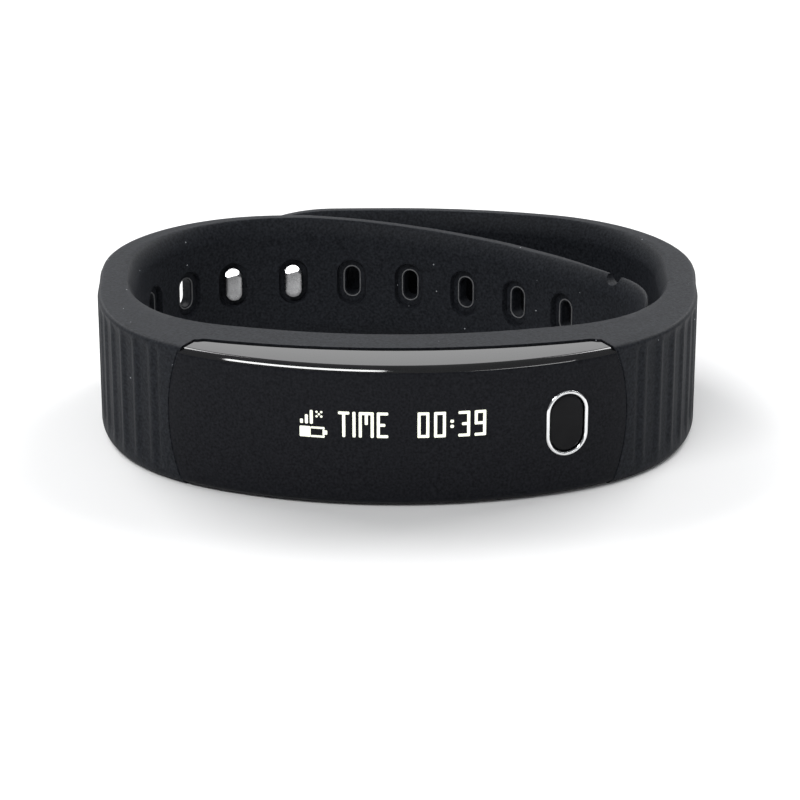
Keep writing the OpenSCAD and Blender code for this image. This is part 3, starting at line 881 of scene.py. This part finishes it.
def digit_strokes(x, w, parts, middle=(0.0, 1.0)):
    """Strokes of a seven-part digit: t, m, b across; l, r for the upper and L, R for the lower uprights.
    middle is the share of the width that m covers."""
    half = (TEXT_TOP - STROKE) / 2
    all_parts = {
        "t": (x, TEXT_TOP - STROKE, x + w, TEXT_TOP),
        "m": (x + w * middle[0], half, x + w * middle[1], half + STROKE),
        "b": (x, 0, x + w, STROKE),
        "l": (x, half, x + STROKE, TEXT_TOP),
        "r": (x + w - STROKE, half, x + w, TEXT_TOP),
        "L": (x, 0, x + STROKE, half + STROKE),
        "R": (x + w - STROKE, 0, x + w, half + STROKE),
    }
    return [all_parts[p] for p in parts]


def text_strokes():
    strokes = [(0, TEXT_TOP - STROKE, 4.8, TEXT_TOP), (1.75, 0, 1.75 + STROKE, TEXT_TOP)]
    strokes += [(6.1, 0, 6.1 + STROKE, TEXT_TOP)]
    strokes += [(8.75, TEXT_TOP - STROKE, 15.1, TEXT_TOP), (8.75, 0, 8.75 + STROKE, TEXT_TOP)]
    strokes += [(15.1 - STROKE, 0, 15.1, TEXT_TOP), (11.3, 5.8, 11.3 + STROKE, TEXT_TOP)]
    strokes += digit_strokes(16.4, 4.8, "tmblL", (0.0, 0.75))
    strokes += digit_strokes(33.6, 5.0, "tblLrR") + digit_strokes(40.6, 5.0, "tblLrR")
    strokes += [(47.5, 6.4, 49, 7.8), (47.5, 4.1, 49, 5.5)]
    strokes += digit_strokes(50.9, 5.0, "tmbrR", (0.3, 1.0)) + digit_strokes(57.8, 4.9, "tmblrR")
    return strokes


def icon_strokes():
    """Rising bars, a small cross and a half-full battery."""
    bars = [(-16.2 + 2.1 * i, 5.2, -14.9 + 2.1 * i, 7.2 + 2.1 * i) for i in range(3)]
    cross = [(-9.6 + i, 8.2 + i, -8.6 + i, 9.2 + i) for i in range(3)]
    cross += [(-9.6 + i, 10.2 - i, -8.6 + i, 11.2 - i) for i in (0, 2)]
    battery = [(-16.4, -0.8, -11.7, 4), (-11.7, 3.1, -5.7, 4), (-11.7, -0.8, -5.7, 0.1)]
    battery += [(-6.6, 0.1, -5.7, 3.1), (-5.7, 0.6, -4.6, 2.6)]
    return bars + cross + battery


def lit_shape(stroke):
    """A lit stroke with rounded corners, lying on the curved face."""
    x0, z0, x1, z1 = stroke
    r = min(LIT_ROUND, 0.49 * (x1 - x0), 0.49 * (z1 - z0))
    outline = []
    corners = ((x1 - r, z1 - r), (x0 + r, z1 - r), (x0 + r, z0 + r), (x1 - r, z0 + r))
    for (cx, cz), start in zip(corners, (0, 90, 180, 270)):
        outline += [(cx + r * cosd(start + a), cz + r * sind(start + a)) for a in (0, 30, 60, 90)]
    at = [(TEXT_X + x * DOT, TEXT_Z + z * DOT) for x, z in outline]
    return loft([[(x, front_y(x, depth), z) for x, z in at] for depth in (0.05, -0.012)])


lit = joined("display_dots_lit", [lit_shape(s) for s in text_strokes() + icon_strokes()])
glow = surface("display_glow", (0.7, 0.72, 0.6), (0.9, 0.92, 0.78), (0.4, 0.5), patch=0.5, grain=0.1,
               bump=0.001)
tree = glow.node_tree
principled = tree.nodes["Principled BSDF"]
principled.inputs["Emission Strength"].default_value = GLOW
tree.links.new(principled.inputs["Base Color"].links[0].from_socket, principled.inputs["Emission Color"])
dress(lit, glow)
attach(lit, "tracker_core")


# ---- floor, lights and camera ----
def make_floor():
    half = 3.0
    mesh = bpy.data.meshes.new("floor")
    corners = [(-half, -half, 0), (half, -half, 0), (half, half, 0), (-half, half, 0)]
    mesh.from_pydata(corners, [], [(0, 1, 2, 3)])
    floor = bpy.data.objects.new("floor", mesh)
    bpy.context.scene.collection.objects.link(floor)
    pale = surface("pale_floor", (0.9, 0.9, 0.9), (0.92, 0.92, 0.92), (0.6, 0.7), patch=30, grain=1,
                   bump=0.002, Specular_IOR_Level=0.2)
    mesh.materials.append(pale)


def soft_light(name, at, aim, size, radiance):
    """A rectangular area light of the given width and height, as bright as radiance says."""
    data = bpy.data.lights.new(name, "AREA")
    data.shape = "RECTANGLE"
    data.size, data.size_y = size
    data.energy = radiance * math.pi * size[0] * size[1]
    light = bpy.data.objects.new(name, data)
    light.location = at
    light.rotation_euler = (Vector(aim) - Vector(at)).to_track_quat("-Z", "Y").to_euler()
    bpy.context.scene.collection.objects.link(light)


def make_world():
    world = bpy.data.worlds.new("studio")
    world.use_nodes = True
    world.node_tree.nodes["Background"].inputs["Color"].default_value = (0.95, 0.97, 1, 1)
    world.node_tree.nodes["Background"].inputs["Strength"].default_value = 0.24
    bpy.context.scene.world = world


CAMERA_DISTANCE = 0.27
CAMERA_ELEVATION = 19.0
CAMERA_TARGET = Vector((0, 0.3 * MM, MID_Z * MM))


def make_camera():
    data = bpy.data.cameras.new("camera")
    data.sensor_width = 36
    data.lens = 117.08
    data.shift_x = 0.003
    data.shift_y = -0.0705
    camera = bpy.data.objects.new("camera", data)
    back = Vector((0, -cosd(CAMERA_ELEVATION), sind(CAMERA_ELEVATION)))
    camera.location = CAMERA_TARGET + back * CAMERA_DISTANCE
    camera.rotation_euler = (-back).to_track_quat("-Z", "Y").to_euler()
    data.clip_start = 0.01
    bpy.context.scene.collection.objects.link(camera)
    bpy.context.scene.camera = camera


make_floor()
make_world()
soft_light("backdrop", (0, 0.9, 0.32), (0, 0, 0.02), (1.6, 0.5), 1.15)
soft_light("back_left", (-0.5, 0.52, 0.56), (0, 0, 0), (0.62, 0.5), 5.9)
soft_light("back_right", (0.5, 0.52, 0.56), (0, 0, 0), (0.62, 0.5), 6.3)
soft_light("key_left", (-0.177, -0.284, 0.372), (0, 0, 0), (0.33, 0.075), 15.5)
soft_light("rim_right", (0.28, -0.39, 0.245), (0, 0, 0), (0.3, 0.03), 6.0)
make_camera()
bpy.context.scene.view_settings.view_transform = "Standard"
